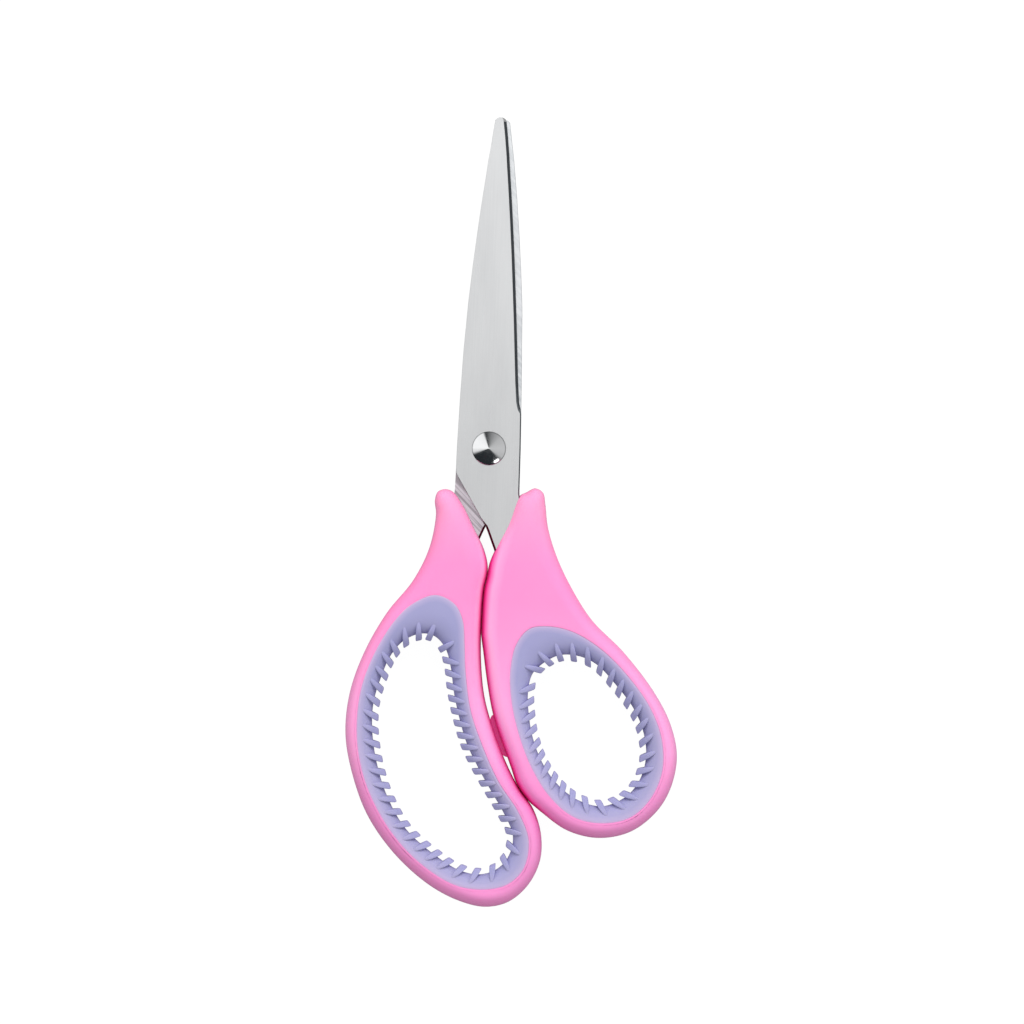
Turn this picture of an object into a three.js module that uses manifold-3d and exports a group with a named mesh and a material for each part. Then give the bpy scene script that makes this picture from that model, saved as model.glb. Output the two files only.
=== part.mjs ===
// Craft scissors with two soft-lined bows: two stamped steel blades turn on one domed rivet, and a
// moulded handle with a finned grip is fixed on each tang. Millimetres. The pair lies flat and closed:
// +Y runs from the handles to the blade tips, +Z is up, and the origin is the middle of the footprint.
import * as THREE from "three";
import { mergeVertices } from "three/addons/utils/BufferGeometryUtils.js";
import Module from "manifold-3d";

const wasm = await Module();
wasm.setup();

// Driving dimensions.
const HANDLE_THICKNESS = 12;
const MID_Z = HANDLE_THICKNESS / 2; // the plane between the two blades
const BLADE_THICKNESS = 1.8;
const RIDE_GAP = 0.2; // between the blades' inner faces
const PIVOT = { x: -6, y: 16.9 };
const BLADE_LEAN = THREE.MathUtils.degToRad(-2.45); // the closed blades lean towards +X
const BEVEL_WIDTH = 0.75; // the ground bevel along each cutting edge
const BEVEL_DEPTH = 0.9;
const BEVEL_OVERRUN = 3; // how far the grinding wheel reaches past the edge
const SHANK_RADIUS = 2.3;
const PIVOT_HOLE_RADIUS = 2.4;
const RIVET_HEAD_RADIUS = 4.5;
const RIVET_HEAD_HEIGHT = 2.1;
const WASHER_RADIUS = 3.9;
const WASHER_THICKNESS = 0.7;
const TAIL_RADIUS = 3.1;
const TAIL_HEIGHT = 0.9;
const FACE_GAP = 0.1; // between faces that touch, such as the rivet head on the blade
const POCKET_GAP = 0.2; // round a tang inside its handle
const SEAM_GAP = 0.15; // between a grip and the handle round it
const ROUND_SEGMENTS = 40;
const HANDLE_SAMPLES = 96; // points round a handle's outline
const GRIP_SAMPLES = 72; // points round a grip's seam and its bore

// The handle's rounded edge.
const EDGE_ROUND_WIDTH = 1.5;
const EDGE_ROUND_HEIGHT = 2.6;
const EDGE_ROUND_STEPS = 2;

// The grip's section: its face falls from the seam to the lip of the bore.
const GRIP_FACE_HALF = 5.3; // half thickness at the seam
const GRIP_SHOULDER_HALF = 4.9; // half thickness part of the way down
const GRIP_SHOULDER_AT = 0.45; // share of the way from the seam to the bore
const GRIP_LIP_HALF = 2.6; // half thickness at the bore

// A fin: a tapered rib that leans away from square to the bore.
const FIN_HALF_HEIGHT = 3.9;
const FIN_REACH_IN = 1.75; // from the bore wall into the bow
const FIN_REACH_BACK = 3.0; // from the bore wall into the grip
const FIN_WALL_HALF_WIDTH = 0.55;
const FIN_TIP_HALF_WIDTH = 0.72;
const FIN_ROOT_HALF_WIDTH = 0.08;

// Outlines, clockwise from above.
const FINGER_OUTLINE = [
  [-17.7, 6.1], [-15.6, 5.4], [-12.8, 1.5], [-10.0, -4.3], [-7.3, -10.0], [-6.3, -15.0],
  [-7.4, -21.0], [-8.0, -29.6], [-8.1, -39.4], [-7.3, -48.5], [-5.5, -55.7], [-2.4, -64.4],
  [2.0, -73.5], [5.7, -78.8], [7.8, -85.5], [7.6, -92.6], [4.4, -99.2], [-0.9, -103.7],
  [-7.0, -105.0], [-14.0, -103.4], [-22.2, -99.0], [-31.5, -90.5], [-38.7, -79.9], [-43.0, -67.1],
  [-44.2, -58.1], [-43.0, -47.9], [-39.2, -37.3], [-33.1, -26.7], [-26.2, -18.2], [-21.9, -9.6],
  [-20.1, -0.6], [-20.4, 3.1], [-19.6, 5.4],
];
const THUMB_OUTLINE = [
  [6.3, 6.3], [8.4, 5.1], [9.0, 2.1], [9.7, -4.1], [12.0, -11.8], [16.0, -20.3],
  [21.4, -28.8], [29.8, -37.3], [37.9, -47.9], [42.3, -56.5], [44.0, -65.0], [42.3, -73.5],
  [38.4, -79.9], [31.5, -85.1], [23.0, -86.7], [14.8, -84.7], [8.0, -79.9], [2.7, -73.5],
  [-1.2, -65.0], [-4.8, -54.3], [-6.4, -45.8], [-7.3, -37.3], [-7.4, -29.6], [-6.8, -21.3],
  [-5.8, -14.7], [-4.1, -9.9], [-0.9, -3.3], [2.1, 4.2], [3.9, 5.2],
];
const FINGER_SEAM = [
  [-20.1, -22.0], [-15.0, -24.5], [-12.9, -28.8], [-12.4, -35.2], [-12.2, -41.6], [-10.9, -52.2],
  [-8.2, -60.7], [-3.5, -71.4], [2.0, -79.9], [4.6, -87.3], [3.2, -94.8], [-1.2, -99.0],
  [-7.6, -100.3], [-15.3, -99.0], [-25.1, -92.6], [-32.6, -84.1], [-38.2, -73.5], [-40.7, -63.9],
  [-41.1, -55.4], [-39.8, -46.4], [-36.3, -37.3], [-31.0, -28.8], [-26.2, -24.3],
];
const THUMB_SEAM = [
  [9.7, -30.3], [16.6, -31.9], [24.1, -36.6], [31.1, -43.7], [37.0, -52.2], [40.0, -60.7],
  [40.0, -69.2], [36.8, -76.4], [31.5, -81.2], [24.1, -82.7], [16.6, -81.1], [10.1, -75.6],
  [4.9, -67.1], [1.2, -56.5], [-0.3, -47.9], [-0.3, -41.6], [1.2, -35.2], [4.7, -31.0],
];
const FINGER_BORE = [
  [-23.9, -32.3], [-20.3, -33.1], [-17.5, -36.4], [-16.1, -41.6], [-15.4, -47.4], [-14.0, -54.3],
  [-11.8, -61.8], [-8.9, -67.9], [-5.3, -74.4], [-2.1, -80.0], [0.3, -85.7], [-0.3, -90.5],
  [-3.3, -94.6], [-8.1, -96.4], [-13.7, -95.4], [-20.9, -90.9], [-28.3, -84.1], [-33.1, -75.6],
  [-35.9, -66.6], [-37.1, -57.5], [-36.7, -50.6], [-34.8, -44.2], [-32.1, -38.1], [-28.5, -34.1],
];
const THUMB_BORE = [
  [13.2, -38.0], [18.2, -38.4], [22.7, -40.6], [28.2, -46.5], [32.6, -52.5], [35.1, -58.6],
  [35.8, -65.0], [34.2, -71.1], [30.5, -75.7], [24.1, -78.3], [17.4, -76.5], [12.2, -72.4],
  [8.4, -67.1], [5.7, -60.2], [4.6, -53.8], [4.4, -47.9], [5.6, -43.0], [9.2, -39.7],
];

// A blade's outline as [distance from the pivot towards the tip, offset towards the spine], in the order
// that it is joined: round the nose, whose distances count from the tip, then down the spine.
const NOSE = [[-0.4, -0.3], [0, 0.45], [-0.5, 1.25]];
const SPINE = [
  [86.2, 1.86], [76.7, 3.3], [67.1, 4.5], [57.5, 5.5], [47.9, 6.4], [38.3, 7.15],
  [25.6, 7.85], [12.8, 8.25], [0, 8.5], [-6.9, 8.5],
];
// Round the tang's end inside the handle and up to the ricasso, the blunt stretch below the edge.
const TANG = [
  [-20.7, 0], [-27.6, -2.8], [-33.6, -5.0], [-35.4, -8.2], [-34.4, -12.2], [-28, -12.6],
  [-20, -10.6], [-12, -8.6], [0, -8.45], [9.8, -8.2],
];
// Up the cutting edge to the nose.
const CUTTING_EDGE = [
  [12.5, -7.5], [18.1, -7.0], [26.6, -6.43], [35.1, -5.85], [43.7, -5.2], [52.2, -4.54],
  [60.7, -3.8], [69.2, -2.93], [77.7, -2.0], [86.4, -0.8],
];
// The line that the bevel is ground along: it leaves the blade at the ricasso and runs on past the tip.
const BEVEL_LINE = [[8.6, -8.35], ...CUTTING_EDGE, [91, -0.2]];
const KEY_HOLES = [
  { along: -22.5, across: -8, radius: 1.5 },
  { along: -30, across: -8.8, radius: 1.7 },
];

const STEEL = () => new THREE.MeshStandardMaterial({ color: 0xc9ccce, roughness: 0.35, metalness: 1 });
const POLISHED = () => new THREE.MeshStandardMaterial({ color: 0xd8dadc, roughness: 0.08, metalness: 1 });
const PINK = () => new THREE.MeshStandardMaterial({ color: 0xfb93cd, roughness: 0.42, metalness: 0 });
const LAVENDER = () => new THREE.MeshStandardMaterial({ color: 0xa7a3d0, roughness: 0.6, metalness: 0 });

// A closed smooth curve through points, as evenly spaced Vector2 samples.
function smoothLoop(points, count) {
  const curve = new THREE.CatmullRomCurve3(
    points.map(([x, y]) => new THREE.Vector3(x, y, 0)),
    true,
    "centripetal",
  );
  curve.arcLengthDivisions = 1200;
  return curve
    .getSpacedPoints(count)
    .slice(0, count)
    .map((p) => new THREE.Vector2(p.x, p.y));
}

// The unit normal at each point of a clockwise loop, pointing to its inside.
function inwardNormals(loop) {
  return loop.map((_, i) => {
    const before = loop[(i + loop.length - 1) % loop.length];
    const after = loop[(i + 1) % loop.length];
    const along = after.clone().sub(before).normalize();
    return new THREE.Vector2(along.y, -along.x);
  });
}

const moved = (loop, inwards) =>
  inwardNormals(loop).map((n, i) => loop[i].clone().addScaledVector(n, inwards));

const between = (from, to, share) => from.map((p, i) => p.clone().lerp(to[i], share));

// A manifold-3d solid from a three.js geometry.
function solid(geometry) {
  const bare = geometry.clone();
  bare.deleteAttribute("normal");
  bare.deleteAttribute("uv");
  const merged = mergeVertices(bare, 1e-4);
  return new wasm.Manifold(
    new wasm.Mesh({
      numProp: 3,
      vertProperties: new Float32Array(merged.attributes.position.array),
      triVerts: new Uint32Array(merged.index.array),
    }),
  );
}

function geometryOf(manifold) {
  const made = manifold.getMesh();
  return new THREE.BufferGeometry()
    .setAttribute("position", new THREE.BufferAttribute(made.vertProperties, 3))
    .setIndex(new THREE.BufferAttribute(made.triVerts, 1));
}

const turnedTo = (clockwise, loop) =>
  THREE.ShapeUtils.isClockWise(loop) === clockwise ? loop : [...loop].reverse();

function prism(loop, low, high, holes = []) {
  const shape = new THREE.Shape(turnedTo(false, loop));
  holes.forEach((hole) => shape.holes.push(new THREE.Path(hole)));
  return new THREE.ExtrudeGeometry(shape, { depth: high - low, bevelEnabled: false }).translate(0, 0, low);
}

// A ring skinned over equal loops, each a closed path of Vector2 at one height; the last joins the first.
function loftedRing(levels) {
  const count = levels[0].loop.length;
  const positions = levels.flatMap(({ loop, z }) => loop.flatMap((p) => [p.x, p.y, z]));
  const index = [];
  levels.forEach((_, level) => {
    const next = (level + 1) % levels.length;
    for (let i = 0; i < count; i++) {
      const j = (i + 1) % count;
      const [a, b, c, d] = [level * count + i, level * count + j, next * count + j, next * count + i];
      index.push(a, c, b, a, d, c);
    }
  });
  return new THREE.BufferGeometry()
    .setAttribute("position", new THREE.BufferAttribute(new Float32Array(positions), 3))
    .setIndex(index);
}

function circle(x, y, radius, count = ROUND_SEGMENTS) {
  return Array.from({ length: count }, (_, i) => {
    const angle = (-2 * Math.PI * i) / count;
    return new THREE.Vector2(x + radius * Math.cos(angle), y + radius * Math.sin(angle));
  });
}

// A blade's outline in the part's frame. side is -1 for the blade whose spine is on -X, 1 for its twin.
const onBlade = (side) => ([along, across]) =>
  new THREE.Vector2(side * across, along)
    .rotateAround(new THREE.Vector2(), BLADE_LEAN)
    .add(new THREE.Vector2(PIVOT.x, PIVOT.y));

function bladeOutline(side, tip) {
  const nose = NOSE.map(([along, across]) => [tip + along, across]);
  return [...nose, ...SPINE, ...TANG, ...CUTTING_EDGE].map(onBlade(side));
}

const keyHoles = (side, shrink) =>
  KEY_HOLES.map(({ along, across, radius }) => {
    const at = onBlade(side)([along, across]);
    return circle(at.x, at.y, radius - shrink, 20);
  });

// The wedge ground off a blade's outer face along its cutting edge: a four-sided bar, whose lower side
// falls from the face at the bevel's shoulder to the bevel's depth at the edge and on past it.
function bevelCutter(side, outerZ) {
  const inwardZ = side < 0 ? -1 : 1;
  const fall = (inwardZ * BEVEL_DEPTH) / BEVEL_WIDTH;
  const corners = [
    { shift: -BEVEL_WIDTH, z: outerZ },
    { shift: -BEVEL_WIDTH, z: outerZ - inwardZ },
    { shift: BEVEL_OVERRUN, z: outerZ - inwardZ },
    { shift: BEVEL_OVERRUN, z: outerZ + fall * (BEVEL_WIDTH + BEVEL_OVERRUN) },
  ];
  const positions = BEVEL_LINE.flatMap(([along, across]) =>
    corners.flatMap(({ shift, z }) => [...onBlade(side)([along, across - shift]).toArray(), z]),
  );
  const last = (BEVEL_LINE.length - 1) * 4;
  const index = [0, 2, 1, 0, 3, 2, last, last + 1, last + 2, last, last + 2, last + 3];
  for (let ring = 0; ring < last; ring += 4)
    for (let k = 0; k < 4; k++) {
      const [a, b] = [ring + k, ring + ((k + 1) % 4)];
      index.push(a, b, b + 4, a, b + 4, a + 4);
    }
  return solid(
    new THREE.BufferGeometry()
      .setAttribute("position", new THREE.BufferAttribute(new Float32Array(positions), 3))
      .setIndex(index),
  );
}

function blade(name, side, low, tip) {
  const hole = circle(PIVOT.x, PIVOT.y, PIVOT_HOLE_RADIUS);
  const high = low + BLADE_THICKNESS;
  const blank = solid(prism(bladeOutline(side, tip), low, high, [hole, ...keyHoles(side, 0)]));
  const ground = blank.subtract(bevelCutter(side, side < 0 ? high : low));
  const mesh = new THREE.Mesh(geometryOf(ground), STEEL());
  mesh.name = name;
  return mesh;
}

// The space a blade needs inside its handle; the moulding keys through the tang's holes.
function tangPocket(side, low, tip) {
  const outline = moved(turnedTo(true, bladeOutline(side, tip)), -POCKET_GAP);
  const keys = keyHoles(side, POCKET_GAP);
  return solid(prism(outline, low - POCKET_GAP, low + BLADE_THICKNESS + POCKET_GAP, keys));
}

function handle(name, outlinePoints, seamPoints, pocket, stop) {
  const shape = new THREE.Shape(smoothLoop(outlinePoints, HANDLE_SAMPLES));
  const body = new THREE.ExtrudeGeometry(shape, {
    depth: HANDLE_THICKNESS - 2 * EDGE_ROUND_HEIGHT,
    bevelThickness: EDGE_ROUND_HEIGHT,
    bevelSize: EDGE_ROUND_WIDTH,
    bevelOffset: -EDGE_ROUND_WIDTH,
    bevelSegments: EDGE_ROUND_STEPS,
  }).translate(0, 0, EDGE_ROUND_HEIGHT);
  const seat = prism(smoothLoop(seamPoints, GRIP_SAMPLES), -1, HANDLE_THICKNESS + 1);
  let made = solid(body);
  if (stop) made = made.add(stop);
  made = made.subtract(solid(seat)).subtract(pocket);
  const mesh = new THREE.Mesh(geometryOf(made), PINK());
  mesh.name = name;
  return mesh;
}

// The block that the thumb handle closes against the finger handle with.
const STOP = {
  outline: [[-4.6, -54.3], [-5.25, -55.6], [-4.0, -59.8], [-2.2, -64.1], [-1.0, -64.7], [0.2, -64.2]],
  halfHeight: 2.2,
};
function closingStop() {
  const loop = STOP.outline.map(([x, y]) => new THREE.Vector2(x, y));
  return solid(prism([...loop, new THREE.Vector2(-1.6, -58)], MID_Z - STOP.halfHeight, MID_Z + STOP.halfHeight));
}

// One fin as seen from above: a point buried in the grip, widest at its tip, cut off along the bore.
function finPlan(at, inward, lean) {
  const axis = inward.clone().rotateAround(new THREE.Vector2(), lean);
  const along = new THREE.Vector2(-inward.y, inward.x);
  const tip = at.clone().addScaledVector(axis, FIN_REACH_IN / Math.cos(lean));
  const root = at.clone().addScaledVector(axis, -FIN_REACH_BACK / Math.cos(lean));
  const corner = (from, width) => from.clone().addScaledVector(along, width / Math.cos(lean));
  return [
    corner(root, -FIN_ROOT_HALF_WIDTH), corner(root, FIN_ROOT_HALF_WIDTH),
    corner(at, FIN_WALL_HALF_WIDTH), corner(tip, FIN_TIP_HALF_WIDTH),
    corner(tip, -FIN_TIP_HALF_WIDTH), corner(at, -FIN_WALL_HALF_WIDTH),
  ];
}

// The indexes of count points spread evenly by distance along a closed loop, the first start steps on.
function evenStations(loop, count, start) {
  const reached = [0];
  loop.forEach((p, i) => reached.push(reached[i] + p.distanceTo(loop[(i + 1) % loop.length])));
  const step = reached[loop.length] / count;
  return Array.from({ length: count }, (_, i) => reached.findIndex((d) => d >= (i + start) * step));
}

function grip(name, seamPoints, borePoints, { count, lean, start }) {
  const seam = moved(smoothLoop(seamPoints, GRIP_SAMPLES), SEAM_GAP);
  const bore = smoothLoop(borePoints, GRIP_SAMPLES);
  const shoulder = between(seam, bore, GRIP_SHOULDER_AT);
  const ring = loftedRing([
    { loop: seam, z: MID_Z - GRIP_FACE_HALF },
    { loop: seam, z: MID_Z + GRIP_FACE_HALF },
    { loop: shoulder, z: MID_Z + GRIP_SHOULDER_HALF },
    { loop: bore, z: MID_Z + GRIP_LIP_HALF },
    { loop: bore, z: MID_Z - GRIP_LIP_HALF },
    { loop: shoulder, z: MID_Z - GRIP_SHOULDER_HALF },
  ]);
  const wall = smoothLoop(borePoints, count * 24);
  const normals = inwardNormals(wall);
  const fins = evenStations(moved(wall, FIN_REACH_IN), count, start).map((k) =>
    solid(prism(finPlan(wall[k], normals[k], lean), MID_Z - FIN_HALF_HEIGHT, MID_Z + FIN_HALF_HEIGHT)),
  );
  const made = fins.reduce((whole, fin) => whole.add(fin), solid(ring));
  const mesh = new THREE.Mesh(geometryOf(made), LAVENDER());
  mesh.name = name;
  return mesh;
}

// A turned piece on the pivot's axis, from [radius, z] pairs.
function turned(name, profile, material) {
  const lathe = new THREE.LatheGeometry(
    profile.map(([r, z]) => new THREE.Vector2(r, z)),
    ROUND_SEGMENTS,
  );
  const mesh = new THREE.Mesh(lathe.rotateX(Math.PI / 2), material);
  mesh.name = name;
  mesh.position.set(PIVOT.x, PIVOT.y, 0);
  return mesh;
}

function pivotRivet(headZ, tailZ) {
  const rim = 0.35;
  const dome = Array.from({ length: 6 }, (_, i) => {
    const share = (i + 1) / 6;
    const height = (RIVET_HEAD_HEIGHT - rim) * Math.sin((share * Math.PI) / 2);
    return [RIVET_HEAD_RADIUS * Math.cos((share * Math.PI) / 2), headZ + rim + height];
  });
  dome[dome.length - 1][0] = 0;
  return turned("pivot_rivet", [
    [0, tailZ], [TAIL_RADIUS * 0.75, tailZ], [TAIL_RADIUS, tailZ + 0.4], [TAIL_RADIUS, tailZ + TAIL_HEIGHT],
    [SHANK_RADIUS, tailZ + TAIL_HEIGHT], [SHANK_RADIUS, headZ], [RIVET_HEAD_RADIUS, headZ],
    [RIVET_HEAD_RADIUS, headZ + rim], ...dome,
  ], POLISHED());
}

function rivetWasher(low) {
  const high = low + WASHER_THICKNESS;
  return turned("rivet_washer", [
    [PIVOT_HOLE_RADIUS, low], [WASHER_RADIUS, low], [WASHER_RADIUS, high], [PIVOT_HOLE_RADIUS, high],
    [PIVOT_HOLE_RADIUS, low],
  ], STEEL());
}

const FRONT_TIP = 88.1;
const REAR_TIP = 87.5;
const frontLow = MID_Z + RIDE_GAP / 2;
const rearLow = MID_Z - RIDE_GAP / 2 - BLADE_THICKNESS;
const washerLow = rearLow - FACE_GAP - WASHER_THICKNESS;
const FINGER_FINS = { count: 42, lean: THREE.MathUtils.degToRad(-25), start: 0.68 };
const THUMB_FINS = { count: 29, lean: THREE.MathUtils.degToRad(28), start: 0.03 };

const scissors = new THREE.Group();
const fingerHalf = new THREE.Group();
fingerHalf.add(
  blade("rear_blade", 1, rearLow, REAR_TIP),
  handle("finger_handle", FINGER_OUTLINE, FINGER_SEAM, tangPocket(1, rearLow, REAR_TIP)),
  grip("finger_grip", FINGER_SEAM, FINGER_BORE, FINGER_FINS),
  pivotRivet(frontLow + BLADE_THICKNESS + FACE_GAP, washerLow - FACE_GAP - TAIL_HEIGHT),
  rivetWasher(washerLow),
);
const thumbHalf = new THREE.Group();
thumbHalf.add(
  blade("front_blade", -1, frontLow, FRONT_TIP),
  handle("thumb_handle", THUMB_OUTLINE, THUMB_SEAM, tangPocket(-1, frontLow, FRONT_TIP), closingStop()),
  grip("thumb_grip", THUMB_SEAM, THUMB_BORE, THUMB_FINS),
);
scissors.add(fingerHalf, thumbHalf);

export default scissors;
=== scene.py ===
"""The looks of a pair of craft scissors with two soft-lined bows, lying flat and closed, blades along +Y.

Pink moulded handles, lavender finned linings, two satin steel blades, a domed rivet and its washer replace
the CAD solids. Shapes are worked out in millimetres and put into the meshes in metres.
"""
import math

import bpy
import numpy as np
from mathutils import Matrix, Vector


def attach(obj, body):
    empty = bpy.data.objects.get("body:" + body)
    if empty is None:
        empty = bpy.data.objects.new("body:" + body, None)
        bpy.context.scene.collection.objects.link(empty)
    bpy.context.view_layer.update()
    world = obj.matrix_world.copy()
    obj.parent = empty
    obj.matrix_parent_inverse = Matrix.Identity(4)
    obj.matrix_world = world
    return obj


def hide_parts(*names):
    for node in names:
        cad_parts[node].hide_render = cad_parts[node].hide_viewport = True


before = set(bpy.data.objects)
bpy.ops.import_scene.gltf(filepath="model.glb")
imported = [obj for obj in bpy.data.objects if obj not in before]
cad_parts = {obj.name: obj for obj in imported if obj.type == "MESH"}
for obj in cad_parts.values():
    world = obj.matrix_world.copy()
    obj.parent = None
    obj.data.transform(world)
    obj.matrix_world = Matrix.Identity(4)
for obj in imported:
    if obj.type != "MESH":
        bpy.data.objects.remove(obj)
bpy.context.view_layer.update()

MM = 0.001

# ---------------------------------------------------------------- the camera, straight above the table

CAMERA_HEIGHT = 3.0
CAMERA_ASIDE = 0.00013
BLADES_HEIGHT = 0.006
FRAME_WIDTH = 0.2724  # what the view takes in at the blades' height
SENSOR_WIDTH = 36.0

camera_data = bpy.data.cameras.new("table_camera")
camera_data.sensor_width = SENSOR_WIDTH
camera_data.lens = SENSOR_WIDTH * (CAMERA_HEIGHT - BLADES_HEIGHT) / FRAME_WIDTH
camera_data.clip_start = 0.1
camera_data.clip_end = 20.0
camera = bpy.data.objects.new("table_camera", camera_data)
camera.location = (CAMERA_ASIDE, 0.0, CAMERA_HEIGHT)
bpy.context.scene.collection.objects.link(camera)
bpy.context.scene.camera = camera
bpy.context.scene.view_settings.view_transform = "Standard"

# ---------------------------------------------------------------- driving dimensions, millimetres

MID = 6.0  # height of the plane between the blades
BLADE_THICKNESS = 1.8
PIVOT = np.array([-6.0, 16.9])
BLADE_LEAN = math.radians(-2.45)
FRONT, REAR = -1, 1  # the side of the closed pair that each blade's spine is on
FRONT_LOW, REAR_LOW = 6.1, 4.1  # the blades' undersides
FRONT_TIP, REAR_TIP = 88.1, 87.5  # distances from the pivot
PIVOT_HOLE_RADIUS = 2.4

FINGER_OUTLINE = [
    (-17.7, 6.1), (-15.6, 5.4), (-12.8, 1.5), (-10.0, -4.3), (-7.3, -10.0), (-6.3, -15.0),
    (-7.4, -21.0), (-8.0, -29.6), (-8.1, -39.4), (-7.3, -48.5), (-5.5, -55.7), (-2.4, -64.4),
    (2.0, -73.5), (5.7, -78.8), (7.8, -85.5), (7.6, -92.6), (4.4, -99.2), (-0.9, -103.7),
    (-7.0, -105.0), (-14.0, -103.4), (-22.2, -99.0), (-31.5, -90.5), (-38.7, -79.9), (-43.0, -67.1),
    (-44.2, -58.1), (-43.0, -47.9), (-39.2, -37.3), (-33.1, -26.7), (-26.2, -18.2), (-21.9, -9.6),
    (-20.1, -0.6), (-20.4, 3.1), (-19.6, 5.4),
]
THUMB_OUTLINE = [
    (6.3, 6.3), (8.4, 5.1), (9.0, 2.1), (9.7, -4.1), (12.0, -11.8), (16.0, -20.3),
    (21.4, -28.8), (29.8, -37.3), (37.9, -47.9), (42.3, -56.5), (44.0, -65.0), (42.3, -73.5),
    (38.4, -79.9), (31.5, -85.1), (23.0, -86.7), (14.8, -84.7), (8.0, -79.9), (5.15, -77.4),
    (3.25, -75.0), (1.9, -73.0), (0.85, -71.0), (0.05, -68.6), (-1.2, -65.0), (-4.8, -54.3),
    (-6.4, -45.8), (-7.5, -37.3), (-8.02, -33.0), (-7.89, -29.0), (-7.68, -25.0), (-7.14, -20.0),
    (-6.56, -17.6), (-6.2, -15.3), (-5.85, -13.6), (-4.3, -9.9), (-0.9, -3.3), (2.1, 4.2), (3.9, 5.2),
]
FINGER_SEAM = [
    (-20.1, -22.0), (-15.0, -24.5), (-12.9, -28.8), (-12.4, -35.2), (-12.2, -41.6), (-10.9, -52.2),
    (-8.2, -60.7), (-3.5, -71.4), (2.0, -79.9), (4.6, -87.3), (3.2, -94.8), (-1.2, -99.0),
    (-7.6, -100.3), (-15.3, -99.0), (-25.1, -92.6), (-32.6, -84.1), (-38.2, -73.5), (-40.7, -63.9),
    (-41.1, -55.4), (-39.8, -46.4), (-36.3, -37.3), (-31.0, -28.8), (-26.2, -24.3),
]
THUMB_SEAM = [
    (9.7, -30.3), (16.6, -31.9), (24.1, -36.6), (31.1, -43.7), (37.0, -52.2), (40.0, -60.7),
    (40.0, -69.2), (36.8, -76.4), (31.5, -81.2), (24.1, -82.7), (16.6, -81.1), (10.1, -75.6),
    (4.9, -67.1), (1.2, -56.5), (-0.3, -47.9), (-0.3, -41.6), (1.2, -35.2), (4.7, -31.0),
]
FINGER_BORE = [
    (-23.9, -32.3), (-20.3, -33.1), (-17.5, -36.4), (-16.1, -41.6), (-15.4, -47.4), (-14.0, -54.3),
    (-11.8, -61.8), (-8.9, -67.9), (-5.3, -74.4), (-2.1, -80.0), (0.3, -85.7), (-0.3, -90.5),
    (-3.3, -94.6), (-8.1, -96.4), (-13.7, -95.4), (-20.9, -90.9), (-28.3, -84.1), (-33.1, -75.6),
    (-35.9, -66.6), (-37.1, -57.5), (-36.7, -50.6), (-34.8, -44.2), (-32.1, -38.1), (-28.5, -34.1),
]
THUMB_BORE = [
    (13.2, -38.0), (18.2, -38.4), (22.7, -40.6), (28.2, -46.5), (32.6, -52.5), (35.1, -58.6),
    (35.8, -65.0), (34.2, -71.1), (30.5, -75.7), (24.1, -78.3), (17.4, -76.5), (12.2, -72.4),
    (8.4, -67.1), (5.7, -60.2), (4.6, -53.8), (4.4, -47.9), (5.6, -43.0), (9.2, -39.7),
]

# A blade's two edges as (distance from the pivot towards the tip, offset towards the spine).
SPINE_LINE = [
    (-35.4, -8.2), (-33.6, -5.0), (-27.6, -2.8), (-20.7, 0.0), (-6.9, 8.5), (0, 8.5), (12.8, 8.25),
    (25.6, 7.85), (38.3, 7.15), (47.9, 6.4), (57.5, 5.5), (67.1, 4.5), (76.7, 3.3), (86.2, 1.86),
    (91.0, 1.1),
]
EDGE_LINE = [
    (-35.4, -11.2), (-34.4, -12.2), (-28, -12.6), (-20, -10.6), (-12, -8.6), (0, -8.45), (9.8, -8.2),
    (12.5, -7.5), (18.1, -7.0), (26.6, -6.43), (35.1, -5.85), (43.7, -5.2), (52.2, -4.54),
    (60.7, -3.8), (69.2, -2.93), (77.7, -2.0), (86.4, -0.8), (91.0, -0.1),
]

# How far each blade's spine and the front blade's edge stand outside those lines, along the blade.
SPINE_TRIM = {
    FRONT: [(70, 0.0), (80, 0.12), (84, 0.28), (88, 0.36)],
    REAR: [(-18, 0.0), (-9, -0.15), (27, -0.15), (36, 0.08), (84, 0.15)],
}
EDGE_TRIM = {FRONT: [(60, 0.0), (75, -0.1), (83, -0.27)], REAR: [(0, 0.0), (90, 0.0)]}

# ---------------------------------------------------------------- curves and grids


def evenly(loop, count):
    """A closed polyline read at count points an equal distance apart: x and y by distance run."""
    closed = np.vstack([loop, loop[:1]])
    run = np.concatenate([[0.0], np.cumsum(np.linalg.norm(np.diff(closed, axis=0), axis=1))])
    at = np.linspace(0.0, run[-1], count, endpoint=False)
    return np.column_stack([np.interp(at, run, closed[:, 0]), np.interp(at, run, closed[:, 1])])


def smooth_loop(points, count):
    """Closed centripetal Catmull-Rom curve. Each span is the cubic Hermite blend of its two ends and of end
    tangents weighted by the square roots of the neighbouring chords; then count points are spread evenly."""
    start = np.asarray(points, float)
    before, end, after = np.roll(start, 1, 0), np.roll(start, -1, 0), np.roll(start, -2, 0)
    k0 = np.linalg.norm(start - before, axis=1, keepdims=True) ** 0.5
    k1 = np.linalg.norm(end - start, axis=1, keepdims=True) ** 0.5
    k2 = np.linalg.norm(after - end, axis=1, keepdims=True) ** 0.5
    leave = (end - start) + k1 * ((start - before) / k0 - (end - before) / (k0 + k1))
    arrive = (end - start) + k1 * ((after - end) / k2 - (after - start) / (k1 + k2))
    t = np.linspace(0.0, 1.0, 40, endpoint=False)[None, :, None]
    curve = (
        (2 * t**3 - 3 * t**2 + 1) * start[:, None]
        + (t**3 - 2 * t**2 + t) * leave[:, None]
        + (3 * t**2 - 2 * t**3) * end[:, None]
        + (t**3 - t**2) * arrive[:, None]
    )
    return evenly(curve.reshape(-1, 2), count)


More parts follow.
